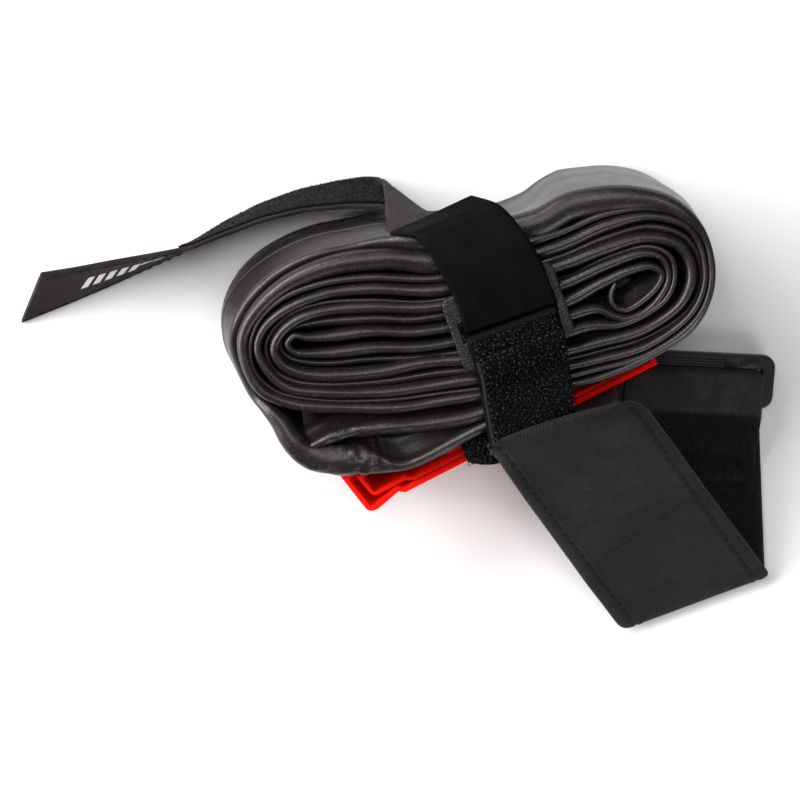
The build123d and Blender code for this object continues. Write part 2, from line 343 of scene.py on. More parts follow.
def pile_look():
    look = Look("loop_pile", (0.005, 0.0045, 0.0048), 0.85, 0.12)
    place = look.place()
    look.colour(look.clouds(place, 500, 4, (0.0028, 0.0025, 0.0026), (0.0085, 0.0075, 0.008),
                            span=(0.35, 0.7)))
    look.put(Sheen_Weight=0.12, Sheen_Roughness=0.5, Sheen_Tint=(1, 0.97, 0.97, 1))
    look.bump(look.noise(place, 2500, 3), 0.0002, 0.6)
    return look.material


def red_look():
    look = Look("red_plastic", (0.92, 0.01, 0.005), 0.45, 0.06)
    look.put(IOR=1.15, Subsurface_Weight=0.5, Subsurface_Radius=(1, 0.06, 0.04), Subsurface_Scale=0.005)
    place = look.place()
    look.colour(look.clouds(place, 45, 4, (0.88, 0.008, 0.004), (0.96, 0.016, 0.008)))
    look.roughness(look.clouds(place, 220, 5, 0.38, 0.52, 0.7))
    scratch = look.noise(look.stretched(place, (0.08, 1, 1)), 2600, 2)
    look.bump(scratch, 0.00005, 0.4)
    look.bump(look.noise(place, 110, 3), 0.0002, 0.3)
    return look.material


def moulded_look(name, dark, light, grain, depth, roughness, specular):
    """Black moulded plastic with a pebbled skin."""
    look = Look(name, light, roughness, specular)
    place = look.place()
    look.colour(look.clouds(place, 180, 4, dark, light))
    look.roughness(look.clouds(place, 500, 3, roughness - 0.06, roughness + 0.08))
    pebbles = look.node("TexVoronoi", {"feature": "SMOOTH_F1"}, Vector=place, Scale=grain,
                        Randomness=1, Smoothness=0.6).outputs["Distance"]
    look.bump(pebbles, depth, 0.8)
    return look.material


def metal_look():
    look = Look("valve_metal", (0.62, 0.53, 0.36), 0.3, 0.5, 1)
    place = look.place()
    look.colour(look.clouds(place, 300, 4, (0.42, 0.34, 0.2), (0.68, 0.6, 0.44)))
    look.roughness(look.clouds(place, 700, 3, 0.24, 0.42))
    look.bump(look.bands(place, "Z", 200, 0, 2), 0.0003, 0.6)
    return look.material


def print_look():
    look = Look("white_print", (0.72, 0.7, 0.7), 0.55, 0.3)
    look.colour(look.clouds(look.place(), 1400, 4, (0.4, 0.39, 0.39), (0.93, 0.92, 0.92),
                            span=(0.22, 0.36)))
    return look.material


def floor_look():
    look = Look("pale_floor", (0.96, 0.96, 0.96), 0.9, 0.1)
    look.colour(look.clouds(look.place(), 3, 2, (0.95, 0.95, 0.95), (0.97, 0.97, 0.97)))
    return look.material


RUBBER = rubber_look()
SMOOTH = smooth_strap_look()
FRAME_CLOTH = twill_look("frame_fabric", (0.002, 0.0017, 0.0018), (0.0165, 0.0135, 0.0142),
                         pitch=0.0007, wear=0.05)
# The tab's cloth is the frame fabric made about three times paler: painted light that makes up for the shade
# the front flap and the roll throw on the tab.
TAB_CLOTH_LIT = twill_look("tab_fabric_painted_light", (0.013, 0.011, 0.0116), (0.044, 0.038, 0.0395),
                       pitch=0.0007, wear=0.05)
TAIL_CLOTH = twill_look("tail_fabric", (0.0085, 0.0058, 0.006), (0.034, 0.023, 0.0235),
                        pitch=0.0006, wear=0.03, specular=0.1)
THREAD = thread_look("thread", 0.0015, 0.005)
WOVEN_EDGE = thread_look("woven_edge", 0.018, 0.045)
HOOKS = hook_look()
PILE = pile_look()
TAPE = twill_look("tape_weave", (0.0008, 0.0008, 0.0008), (0.0028, 0.0026, 0.0026),
                  pitch=0.0008, specular=0.06)
RED = red_look()
PEBBLED = moulded_look("ring_plastic", (0.007, 0.0058, 0.006), (0.015, 0.0125, 0.013),
                       grain=1700, depth=0.0003, roughness=0.42, specular=0.4)
SATIN = moulded_look("wide_ring_plastic", (0.005, 0.0041, 0.004), (0.0095, 0.0078, 0.0075),
                     grain=5000, depth=0.00008, roughness=0.42, specular=0.42)
METAL = metal_look()
PRINT = print_look()


# ---------- camera, floor and light
TARGET = np.array([-28, -13.9, 55])
DISTANCE = 832.0
TILT = 12.0  # the camera leans towards +Y by this from straight above
ROLL_ANGLE = 15.0
VIEW_WIDTH = 252.0  # width seen at the target
FLOOR_HALF = 3000.0


def make_camera():
    tilt = math.radians(TILT)
    roll = math.radians(ROLL_ANGLE)
    back = Vector((0, math.sin(tilt), math.cos(tilt)))
    level = Vector((1, 0, 0))
    up = back.cross(level)
    right = level * math.cos(roll) - up * math.sin(roll)
    above = level * math.sin(roll) + up * math.cos(roll)
    data = bpy.data.cameras.new("camera")
    data.sensor_width = 36.0
    data.lens = data.sensor_width * DISTANCE / VIEW_WIDTH
    camera = new_object("camera", data)
    turn = Matrix((right, above, back)).transposed().to_4x4()
    camera.matrix_world = Matrix.Translation(Vector(TARGET * MM) + back * DISTANCE * MM) @ turn
    bpy.context.scene.camera = camera


def make_light(name, place, aim, size, power, colour=(1, 1, 1)):
    """Soft rectangular lamp; place, aim and size in metres."""
    data = bpy.data.lights.new(name, "AREA")
    data.shape = "RECTANGLE"
    data.size, data.size_y = size
    data.energy = power
    data.color = colour
    lamp = new_object(name, data)
    lamp.location = place
    lamp.rotation_mode = "QUATERNION"
    lamp.rotation_quaternion = (Vector(place) - Vector(aim)).to_track_quat("Z", "Y")


def make_studio():
    corners = [(x * FLOOR_HALF, y * FLOOR_HALF, 0) for x, y in CORNERS]
    floor = mesh_piece("floor", corners, [(0, 1, 2, 3)], floor_look())
    world = bpy.data.worlds.new("studio")
    world.use_nodes = True
    background = world.node_tree.nodes["Background"]
    background.inputs["Color"].default_value = (0.97, 0.98, 1, 1)
    background.inputs["Strength"].default_value = 0.10
    bpy.context.scene.world = world
    make_light("softbox_back", (-0.9, 1.15, 1.15), (0, 0.02, 0.03), (1.6, 0.5), 42)
    make_light("softbox_top", (0.15, 0.6, 1.9), (0, 0, 0), (1.1, 0.5), 10)
    make_light("softbox_left", (-1.8, 0.4, 0.6), (0, 0, 0.03), (1, 0.6), 30, (1, 0.93, 0.91))
    make_light("softbox_front", (0.7, -1.6, 1), (0, 0, 0.03), (1.2, 0.6), 12)
    bpy.context.scene.view_settings.view_transform = "Standard"


make_camera()
make_studio()


# ---------- the rolled inner tube
# The tube lies in one winding, counterclockwise from its inner end to the outside. Its points are
# x, y, half of the flat tube's thickness and drop of its top edge below the rim, left out where 0.
WINDING = [
    # curled inner end, round the valve
    (47, 4, 0.8, 1), (45, 1.5, 0.9, 0.5), (44.5, -2.2, 0.9), (47.5, -4.8, 0.9), (53.5, -3.5, 1),
    (59.2, -0.3, 1), (61.8, 3.2, 1), (59, 6.4, 1.2), (52, 6.9, 1.4), (42, 5, 1.9), (30, 2.5, 2),
    # first turn
    (-15, 5, 1.7), (-31.5, 9.5, 1.7), (-45.5, 11.5, 1.6), (-51.5, 13, 1.1), (-55, 14.5, 0.9),
    (-57.5, 12.5, 0.9), (-56, 9.5, 1.1), (-47, 6.5, 1.6), (-31.5, 4, 1.8), (-14.5, 0, 1.7),
    (30, -2, 1.6), (39.5, -2.5, 1.5), (43.5, -5.5, 1.3), (47, -7.5, 1.2), (52.5, -7.5, 1.2),
    (58.5, -4.5, 1.1), (63.5, 1.5, 1), (63, 8, 1), (58, 11, 1.4), (46.5, 10.5, 1.7), (30, 8, 1.9),
    # second turn
    (-14, 8.5, 1.9, 3), (-30.5, 13, 1.9, 3), (-46, 16, 1.6, 3), (-56, 16, 0.9, 3), (-60, 12.5, 0.7, 3),
    (-58.5, 8, 0.9, 3), (-49.5, 3.5, 1.1, 3), (-34, 0.5, 1.1, 3), (-15.5, -3.5, 1.1, 3), (25, -7, 1.9),
    (35.5, -7, 1.7), (45, -9, 1.1), (53.5, -8, 0.9), (61.5, -4.5, 0.9), (65.5, 1.5, 0.9), (65.5, 8, 0.9),
    (60, 12.5, 0.8, 1), (47, 12.5, 0.8, 2.5), (31, 9.5, 0.8, 3),
    # third turn
    (-11.5, 12, 1.9), (-29.5, 17, 1.9), (-43.5, 19.5, 1.9), (-52.5, 19, 1.7), (-59, 16, 1.6),
    (-62, 12, 1.6), (-61, 7, 1.8), (-56, 2.5, 2), (-44.5, -1.5, 2.2), (-30.5, -4, 2.2), (-16, -5, 2),
    (23.5, -12.5, 1.7), (37.5, -13, 1.7), (53, -12.5, 1.7), (65.5, -7.5, 1.6), (71, 1, 1.7),
    (69.5, 10, 1.8), (60, 15.5, 1.9), (46, 15.5, 2), (31.5, 14, 2),
    # fourth turn, pushed down between its neighbours
    (-9.5, 13.5, 0.6, 1.5), (-29, 19, 0.6, 1.5), (-44.5, 22, 0.7, 1.5), (-54.5, 21, 0.8, 1.5),
    (-61.5, 17, 0.8, 2), (-64.5, 12.5, 0.8, 2), (-64, 5.5, 0.9, 2.5), (-59.5, 0.5, 1.3, 2.5),
    (-48, -4, 1.4, 2.5), (-31, -7.5, 1.4, 2.5), (-13.5, -9.5, 1.4, 2.5), (23, -15.5, 0.8, 2),
    (37, -16, 0.9, 2), (53.5, -15.5, 0.9, 2.5), (68, -10, 0.9, 3), (74, -0.5, 0.9, 3),
    (72.5, 11, 1.1, 3), (62.5, 18, 1.6, 3), (47, 18.5, 1.6, 2.5), (31, 16.5, 1.4, 2),
    # fifth turn
    (-7, 16.5, 1.9), (-28, 22.5, 1.9), (-42, 24.5, 1.9), (-55.5, 23, 1.6), (-63.5, 19, 1.4),
    (-67, 13.5, 1.4), (-66, 6.5, 1.6), (-61, -1, 1.7), (-49, -6, 1.9), (-32, -10.5, 1.9),
    (-18, -12.5, 1.9), (-7.5, -13.5, 1.7), (21.5, -17.5, 1.7, 0.5), (36, -18.5, 1.6, 0.5),
    (52.5, -18, 1.3, 0.5), (68.5, -11, 1, 0.5), (75, -0.5, 0.9, 0.5), (74, 14, 1.1, 0.5),
    (63.5, 21.5, 1.4), (48.5, 22.5, 2), (31.5, 20, 2),
    # sixth turn
    (-6, 20, 1.3, 1), (-27.5, 26, 1.3, 1), (-43, 28, 1.2, 1), (-56, 26.5, 0.9, 1), (-64.5, 21.5, 0.6, 1),
    (-69, 14.5, 0.6, 1), (-69.5, 6, 0.6, 1), (-64.5, -1.5, 0.6, 1), (-52.5, -7.5, 0.6, 1),
    (-32.5, -13, 0.6, 1), (-12, -16, 0.6, 1), (21, -20.5, 1.1), (34, -21, 0.9), (52, -20.5, 0.9),
    (69.5, -13, 0.8), (76.5, -1.5, 0.6), (76, 15.5, 0.8, 0.5), (64.5, 23.5, 0.9, 1), (49.5, 26, 1.1, 1),
    (32.5, 24, 1.3, 1),
    # seventh turn
    (-6, 25.5, 3.8), (-21, 30.5, 3.8), (-38.5, 32.5, 3.3), (-53.5, 30.5, 2.8), (-64, 25, 2.4),
    (-70.5, 17.5, 2.1), (-71.5, 8.5, 2), (-69, 0, 1.9), (-61, -6.5, 1.9), (-47, -11.5, 1.9),
    (-28.5, -16.5, 1.8), (-11.5, -18.5, 1.7), (8, -20.5, 1.2),
]
# The last wrap, from the fold tucked in at the roll's front left corner round the whole roll and
# back outside that fold: x, y, half thickness, drop, and how far the wall leans out at mid-height,
# the last two left out where 0.
WRAP = [
    (-58.8, -21.4, 1.3, 0.6), (-54.5, -20.4, 1.9), (-47, -20, 2.2), (-35, -21.5, 2.3), (-21, -24, 2.4),
    (-8, -25.5, 2.4), (3.5, -24.5, 1.9), (20, -23, 1.4), (33, -24, 1.3), (51.5, -21.5, 1.1),
    (66.5, -16.5, 0.9), (73.5, -9.5, 0.9, 0, 0.5), (77.5, 0, 0.9, 0, 0.5), (77.5, 11, 1.2, 0, 0.8),
    (74, 18.5, 2.2, 0, 1), (67.2, 24.8, 3.3, 0, 1), (58.5, 28.4, 4.2, 0, 1), (48.5, 30.6, 4.6, 0, 1),
    (39, 31, 4.8, 0, 1), (28.5, 28.8, 4.6, 0, -1), (12, 29.6, 4.2, 1, -3), (-3, 30.8, 3.6, 1, -2.5),
    (-12.5, 33.6, 3.4, 0.5, 0.5), (-20.5, 35.4, 2.2, 2, 2.4), (-31, 36.2, 1.4, 3.5, 3),
    (-40.5, 36.8, 1.4, 3.5, 3.2), (-49, 35.6, 1.5, 3.5, 3.6), (-57.5, 32.8, 1.6, 3.5, 3.8),
    (-65.3, 28.2, 1.6, 3.5, 4), (-70.8, 21.8, 1.6, 4.5, 4), (-73.4, 15, 1.6, 7, 3),
    (-73.4, 7, 1.4, 7, 2), (-71.5, -2.5, 1.6, 6, 1.5), (-69, -6.5, 2.4, 3, 1.5),
    (-66.3, -11.8, 3.2, 1, 1.5), (-64.6, -17.5, 3.7, 0, 1), (-61.5, -23, 4.2, 0, 1),
    (-56, -26.5, 4.9, 0, 0.5), (-49, -28.6, 5.2), (-43, -31, 4.4), (-37.5, -33.5, 3.1), (-32, -35, 1.9),
    (-23.5, -34, 1.9), (-15, -32, 2), (-6, -30, 2), (4.5, -28, 1.6),
]
TUBE_STEP = 0.9
FOOT_SHARE = 0.4  # a turn's foot rises by this share of its drop
DOME_SHARE, DOME_LEAST, DOME_MOST = 1.25, 0.8, 3.4  # height of the rounded edges
LOWEST = 0.1  # the tube stays this far above the surface
DOME_POINTS = 13
# heights of the wall's rows, from under the top dome to above the bottom one
WALL_LEVELS = (50.4, 48.6, 46.9, 45.6, 39, 31, 24, 21, 18.6, 13, 8)
WALL_SIDE = 0.94  # the walls' place, as a share of the half thickness
# moulding lines on the last wrap's outer wall: a fine ridge between two grooves at each height
SEAM_HEIGHTS = (36.3, 27, 14.6)
SEAM_SHAPE = ((-1.4, 0), (-0.5, -0.16), (0, 0.22), (0.5, -0.16), (1.4, 0))
SEAM_LINES = {height + offset: rise for height in SEAM_HEIGHTS for offset, rise in SEAM_SHAPE}
SEAM_FADE = (-12, 8)  # x over which those lines fade out towards the right
RIDGE_AT = 3  # dome point that carries the tube's fine moulding ridge
RIDGE_UP, RIDGE_OUT = 0.07, 0.05
UNEVEN = ((26, 5, 0.22), (13, 6, 0.05))  # the rubber's waves: size, seed and height
CRUMPLE_AT = (-47, -29)
CRUMPLE_SPREAD = (15, 9)
ROLL_FOOT = 0.7  # height of the roll's underside beside the straps' channel
CHANNEL_AT = 13.0  # x of the channel's middle
CHANNEL_RISE = 3.9
CHANNEL_SIDES = (30.5, 35)  # distances from its middle over which the underside comes down


def roll_floor(x, y):
    """Height of the roll's underside: it sits up over the straps that pass below it."""
    turn = math.radians(LEVER_TURN)
    along = (x - CHANNEL_AT) * math.cos(turn) + y * math.sin(turn)
    return ROLL_FOOT + CHANNEL_RISE * (1 - smoothstep(*CHANNEL_SIDES, np.abs(along)))


def press_by_levers(points):
    """Moves the roll's outer layers inwards where the levers lie against them."""
    direction = heading(LEVER_TURN)
    across = heading(LEVER_TURN + 90)
    local = points - np.array([*LEVER_ORIGIN, 0])
    along = local @ direction
    out = local @ across
    # what lay at first, the roll's outside, moves to limit, beside the levers; what lay at far stays
    limit = np.interp(along, [-44, -24], [15.5, 9.6])
    first = np.interp(along, [-60, -20, 40], [3, 0, -1])
    far = 42.0
    pressed = limit + (out - first) * (far - limit) / (far - first)
    pressed = np.where(out < far, np.maximum(pressed, out), out)
    low, high = LEVER_BAND
    z = points[..., 2]
    weight = smoothstep(low - 5, low - 0.4, z) * (1 - smoothstep(high + 0.5, high + 4.5, z))
    weight = weight * (1 - smoothstep(52, 66, along)) * smoothstep(-78, -66, along)
    return points + ((pressed - out) * weight)[..., None] * across


def tube_rings(line, seams):
    """Closed section rings of the flat tube, standing on edge along a line of its winding."""
    rows = len(line)
    x, y, half, drop, lean = line.T
    tangent = unit(np.column_stack([np.gradient(x), np.gradient(y)]))
    outward = np.column_stack([tangent[:, 1], -tangent[:, 0]])
    top = ROLL_HEIGHT - drop
    floor = roll_floor(x, y) + drop * FOOT_SHARE
    dome = np.clip(half * DOME_SHARE, DOME_LEAST, DOME_MOST)
    side, level, bulge = [], [], []
    for index, angle in enumerate(np.linspace(0, math.pi, DOME_POINTS)):
        side.append(np.full(rows, math.cos(angle)))
        level.append(top - dome * (1 - math.sin(angle)) + (RIDGE_UP if index == RIDGE_AT else 0))
        bulge.append(np.full(rows, RIDGE_OUT if index == RIDGE_AT else 0))
    lines = SEAM_LINES if seams else {}
    outer_levels = sorted(set(WALL_LEVELS) | set(lines))
    wall_top = top - dome
    wall_foot = floor + dome

    def wall(sign, height, ridge):
        share = (height - WALL_LEVELS[-1]) / (WALL_LEVELS[0] - WALL_LEVELS[-1])
        z = wall_foot + (wall_top - wall_foot) * np.clip(share * 0.96 + 0.02, 0, 1)
        fixed = np.full(rows, float(height))
        z = np.where((fixed < wall_top - 0.2) & (fixed > wall_foot + 0.2), fixed, z)
        side.append(np.full(rows, sign * WALL_SIDE))
        level.append(z)
        bulge.append(ridge * (1 - smoothstep(*SEAM_FADE, x)))

    for height in WALL_LEVELS:
        wall(-1, height, 0)
    for angle in np.linspace(math.pi, 2 * math.pi, DOME_POINTS):
        side.append(np.full(rows, math.cos(angle)))
        level.append(floor + dome * (1 + math.sin(angle)))
        bulge.append(np.zeros(rows))
    for height in outer_levels:
        wall(1, height, lines.get(height, 0))
    side = np.column_stack(side)
    level = np.column_stack(level)
    bulge = np.column_stack(bulge)
    mid = np.clip((level - ROLL_FOOT) / ROLL_HEIGHT, 0, 1)
    lean_shape = smoothstep(0.98, 0.55, mid) * (1 - 0.45 * smoothstep(0.35, 0, mid))
    shift = side * half[:, None] + lean[:, None] * lean_shape + bulge
    plan = line[:, None, :2] + outward[:, None, :] * shift[..., None]
    return np.concatenate([plan, level[..., None]], axis=2)


def wound_tube(points, seams):
    """Section rings along a whole winding, uneven, crumpled and pressed by the levers."""
    line = through([(*p, *[0] * (5 - len(p))) for p in points], 2, TUBE_STEP)
    rings = tube_rings(line, seams)
    centre = rings.mean(axis=1, keepdims=True)
    outward = unit((rings - centre) * np.array([1, 1, 0.2]))
    soft = sum(ripple(rings, scale, seed) * height for scale, seed, height in UNEVEN)
    rings = rings + outward * soft[..., None] * np.clip(line[:, 2], 0.4, 2)[:, None, None]
    rings = rings + outward * (crumple(rings) * smoothstep(1, 2.6, line[:, 2])[:, None])[..., None]
    rings = press_by_levers(rings)
    rings[..., 2] = np.maximum(rings[..., 2], LOWEST)
    return rings


def crumple(points):
    """Creases where the tube is folded hard, at the roll's front left corner."""
    far = (points[..., :2] - np.array(CRUMPLE_AT)) / np.array(CRUMPLE_SPREAD)
    near = np.exp(-(far[..., 0] ** 2 + far[..., 1] ** 2))
    creases = 1 - np.abs(ripple(points, 10, 21)) * 2.4
    fine = 1 - np.abs(ripple(points, 5, 23)) * 3.0
    return near * (0.6 * creases + 0.34 * fine)


def make_roll():
    winding = loft("inner_tube_winding", wound_tube(WINDING, False), RUBBER)
    wrap = loft("inner_tube_wrap", wound_tube(WRAP, True), RUBBER)
    for piece in (winding, wrap):
        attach(piece, "roll")
        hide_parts("inner_tube")


make_roll()


# ---------- straps
EDGE_SQUARE = 26  # how square a strap's edges are: 2 would make them round
STITCH_ARCH = np.array([-0.22, 0.04, 0.12, 0.04, -0.22])
STITCH_SIZES = np.array([0.55, 1, 1, 1, 0.55])
TAPE_STEP = 0.8


class Strap:
    """A flat strap between two edge lines, with its own directions for what is sewn on it."""

    def __init__(self, left, right, thick, sag=0, seed=1):
        self.thick = thick
        middle = (left + right) / 2
        self.width = np.linalg.norm(right - left, axis=1)
        self.across = unit(right - left)
        ahead = unit(np.gradient(middle, axis=0))
        self.normal = unit(np.cross(self.across, ahead))
        self.middle = middle + self.normal * (ripple(middle, 24, seed) * sag)[:, None]
        runs = np.linalg.norm(np.diff(middle, axis=0), axis=1)
        self.length = np.concatenate([[0], np.cumsum(runs)])
        self.cup = np.zeros(len(middle))

    def cup_near(self, v, depth, spread):
        """Lets both edges droop, most of all at one length along the strap."""
        self.cup = depth * np.exp(-(((self.length - v) / spread) ** 2))

    def point(self, u, v, lift, side):
        """Point at u across and v along, lifted off the strap's face."""
        def at(values):
            return np.column_stack([np.interp(v, self.length, values[:, c]) for c in range(3)])
        share = np.abs(u) * 2 / np.interp(v, self.length, self.width)
        height = side * (self.thick / 2 + lift) + np.interp(v, self.length, self.cup) * share ** 3
        across = unit(at(self.across)) * np.reshape(u, (-1, 1))
        return at(self.middle) + across + unit(at(self.normal)) * np.reshape(height, (-1, 1))

    def mesh(self, name, look, columns, relief=None):
        """Closed mesh with rounded edges. relief(u, v) adds height to both faces."""
        def around(upper, lower):
            return np.concatenate([upper, lower[:, -2:0:-1]], axis=1)
        even = np.linspace(-1, 1, columns)
        s = 0.6 * even + 0.4 * np.sin(even * math.pi / 2)
        half = self.thick / 2 * np.sqrt(1 - np.abs(s) ** EDGE_SQUARE)
        u = self.width[:, None] / 2 * s[None, :]
        v = np.repeat(self.length[:, None], columns, 1)
        base = self.middle[:, None, :] + self.across[:, None, :] * u[..., None]
        up = self.normal[:, None, :]
        fade = (half / (self.thick / 2))[None, :]
        one = np.ones_like(u)
        height = half[None, :] + (relief(u, v) * fade if relief else 0) * one
        droop = self.cup[:, None] * np.abs(s[None, :]) ** 3
        rings = around(base + up * (droop + height)[..., None], base + up * (droop - height)[..., None])
        cloth = np.stack([around(u, u), around(v, v), around(one, -one)], axis=2) * MM
        return loft(name, rings, look, cloth)


def strap_along(stations, thick, step, radius, sag, seed):
    """Strap through stations of (x, y, z, turn of its width about Z, width)."""
    line = rounded(stations, step, radius)
    across = np.array([heading(turn) for turn in line[:, 3]]) * line[:, 4:5] / 2
    return Strap(line[:, :3] - across, line[:, :3] + across, thick, sag, seed)


def edge_pair(x, y, z, turn, width):
    """Both edge points of a level strap whose middle is at x, y, z."""
    middle = np.array([x, y, z])
    across = heading(turn) * width / 2
    return tuple(middle - across), tuple(middle + across)


def strap_between(edges, thick, step, radius, sag, seed):
    """Strap between pairs of edge points."""
    both = np.array([(*a, *b) for a, b in edges], float)
    middle = np.concatenate([(both[:, :3] + both[:, 3:]) / 2, both], axis=1)
    line = rounded(middle, step, radius)
    return Strap(line[:, 3:6], line[:, 6:9], thick, sag, seed)


def stitches(name, runs, look, thickness, length, gap):
    """Rows of thread stitches. Each run is (strap, u at start, v at start, u at end, v at end, side)."""
    points, faces = [], []
    for strap, u0, v0, u1, v1, side in runs:
        run = math.hypot(u1 - u0, v1 - v0)
        count = max(int(run / (length + gap)), 1)
        for index in range(count):
            ts = (index + np.linspace(0.1, 0.1 + length / (length + gap), 5)) / count
            u = u0 + (u1 - u0) * ts
            v = v0 + (v1 - v0) * ts
            spine = strap.point(u, v, STITCH_ARCH, side)
            up = unit(strap.point(u, v, 1, side) - strap.point(u, v, 0, side))
            ahead = unit(np.gradient(spine, axis=0))
            sideways = unit(np.cross(ahead, up))
            start = len(points)
            for k, size in enumerate(thickness / 2 * STITCH_SIZES):
                for angle in np.arange(6) * math.pi / 3:
                    outward = sideways[k] * math.cos(angle) + up[k] * math.sin(angle)
                    points.append(spine[k] + outward * size)
            faces += loft_faces(5, 6, start)
    return mesh_piece(name, points, faces, look)


def tape_on(strap, v0, v1, half_width, thick, side, lift=0):
    """A flat tape sewn on one face of a strap."""
    v = np.linspace(v0, v1, max(int(abs(v1 - v0) / TAPE_STEP), 2) + 1)
    left, right = [strap.point(np.full(len(v), u), v, thick / 2 + lift, side)
                   for u in (-half_width, half_width)]
    return Strap(left, right, thick)


def bristles(name, strap, area, side, spacing, height, bend, radius, look, seed):
    """Short bent fibres standing on a strap. area is (u low, u high, v low, v high)."""
    chance = np.random.default_rng(seed)
    u, v = np.meshgrid(np.arange(area[0], area[1], spacing), np.arange(area[2], area[3], spacing))
    u = u.ravel() + chance.uniform(-0.45, 0.45, u.size) * spacing
    v = v.ravel() + chance.uniform(-0.45, 0.45, v.size) * spacing
    tall = height * chance.uniform(0.6, 1.15, u.size)
    foot = strap.point(u, v, -0.05, side)
    up = unit(strap.point(u, v, 1, side) - foot)
    turn = chance.uniform(0, 2 * math.pi, u.size)[:, None]
    across = unit(strap.point(u + 0.5, v, 0, side) - strap.point(u - 0.5, v, 0, side))
    ahead = np.cross(up, across)
    lean = across * np.cos(turn) + ahead * np.sin(turn)
    sideways = np.cross(up, lean)
    levels = ((0, 0, 1), (0.65, 0.25, 0.9), (1, 0.75, 0.7), (0.82, 1.15, 0.35))
    rings = []
    for rise, reach, size in levels:
        centre = foot + up * (tall * rise)[:, None] + lean * (tall * reach * bend)[:, None]
        for angle in (0, 2.1, 4.2):
            rings.append(centre + (lean * math.cos(angle) + sideways * math.sin(angle)) * radius * size)
    points = np.stack(rings, axis=1)
    count = len(levels) * 3
    pattern = [*side_faces(len(levels), 3), (count - 1, count - 2, count - 3)]
    faces = [tuple(base + corner for corner in face)
             for base in range(0, len(u) * count, count) for face in pattern]
    return mesh_piece(name, points.reshape(-1, 3), faces, look)


UNDER = ROLL_HEIGHT + CLEAR + STRAP_THICK / 2
OVER = RING_TOP + CLEAR + STRAP_THICK / 2
STRAP_GAP = 0.4  # between this strap and the frame strap under it
BELOW = FRAME_THICK + CLEAR + STRAP_THICK / 2 + STRAP_GAP
FRONT = -(CLEAR + STRAP_THICK / 2)
front_x, front_y = beside_levers(-0.5, FRONT)

# ---- tube strap: up through the ring, down the front, under the roll, over the back, up through the
# ring again and back over itself to its fold
STRAP_ROUTE = [
    (11.9, -5, UNDER, 5, 30.3), (11.7, 1.9, UNDER, 5, 30.3), (11.7, 1.9, OVER - 0.9, 5, 30.3),
    (12.2, -9.6, OVER - 0.5, 6, 30), (11.8, -15.5, UNDER + 0.3, 8, 30),
    (10.4, -31.6, UNDER + 0.4, 11, 30), (9.8, -35.6, 53.4, 12.3, 30), (front_x, front_y, 47, 12.3, 30),
    (front_x, front_y, BELOW, 12.3, 30), (3.2, 31.6, BELOW, 7, 27), (3, 36, 51.8, 6, 25.5),
    (4.6, 33.6, UNDER + 0.2, 4, 26), (11, 14, UNDER, 5, 28.5), (11.8, 4, UNDER, 5, 30.3),
    (11.8, 3.2, OVER - 0.6, 4, 30.3), (11.9, 5.6, OVER + 0.3, 3, 29.8), (11.2, 16, OVER, 2, 29.6),
    (9, 24.5, OVER - 0.3, 0, 30), (6, 33, UNDER + 3, 1, 29.4), (3.4, 37.4, UNDER + 1.8, 5, 28.4),
    (-3.4, 39.6, 52, 10.3, 28.6),
]
TAPE_AT = (11.2, 66)  # lengths along the strap between which its hook tape is sewn
TURNED_END = 5.2  # the tape's first stretch, where the strap comes out of the ring


def make_tube_strap():
    main = strap_along(STRAP_ROUTE, STRAP_THICK, step=0.7, radius=1.5, sag=0.12, seed=3)
    loop = main.mesh("tube_strap_loop", SMOOTH, 37)
    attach(loop, "roll")
    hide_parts("tube_strap")
    outside = -1.0
    half = STRAP_WIDTH / 2 - 0.4
    start, end = TAPE_AT
    first = tape_on(main, start, start + TURNED_END, half - 0.7, 0.5, outside)
    second = tape_on(main, start + TURNED_END - 0.4, end, half, TAPE_THICK, outside, 0.1)
    backing = second.mesh("tube_strap_hook_backing", TAPE, 33)
    turned_part = first.mesh("tube_strap_turned_end", TAPE, 33)
    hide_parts("tube_strap_hook_tape")
    rim = 2.4
    long = end - start - TURNED_END
    hooks = bristles("tube_strap_hooks", second, (-half + rim, half - 0.6, 0.8, long), outside,
                     spacing=0.9, height=1, bend=0.75, radius=0.16, look=HOOKS, seed=31)
    upper_hooks = bristles("tube_strap_turned_hooks", first,
                           (-half + 1.2, half - 1.2, 0.2, TURNED_END - 0.6), outside,
                           spacing=0.8, height=1.3, bend=0.8, radius=0.16, look=HOOKS, seed=32)
    seam = stitches("tube_strap_tape_seam", [
        (second, -half + 1.4, 0.9, half - 1.4, 0.9, outside),
        (second, -half + rim - 0.4, 1.5, -half + rim - 0.4, long, outside),
    ], WOVEN_EDGE, thickness=0.34, length=1.5, gap=0.7)
    selvedge = stitches("tube_strap_selvedge", [
        (second, -half + 0.2, v, -half + rim - 0.6, v, outside)
        for v in np.arange(1.5, end - start - 6, 0.62)
    ], WOVEN_EDGE, thickness=0.36, length=1.5, gap=0.3)
    for piece in (backing, turned_part, hooks, upper_hooks, seam, selvedge):
        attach(piece, "roll")


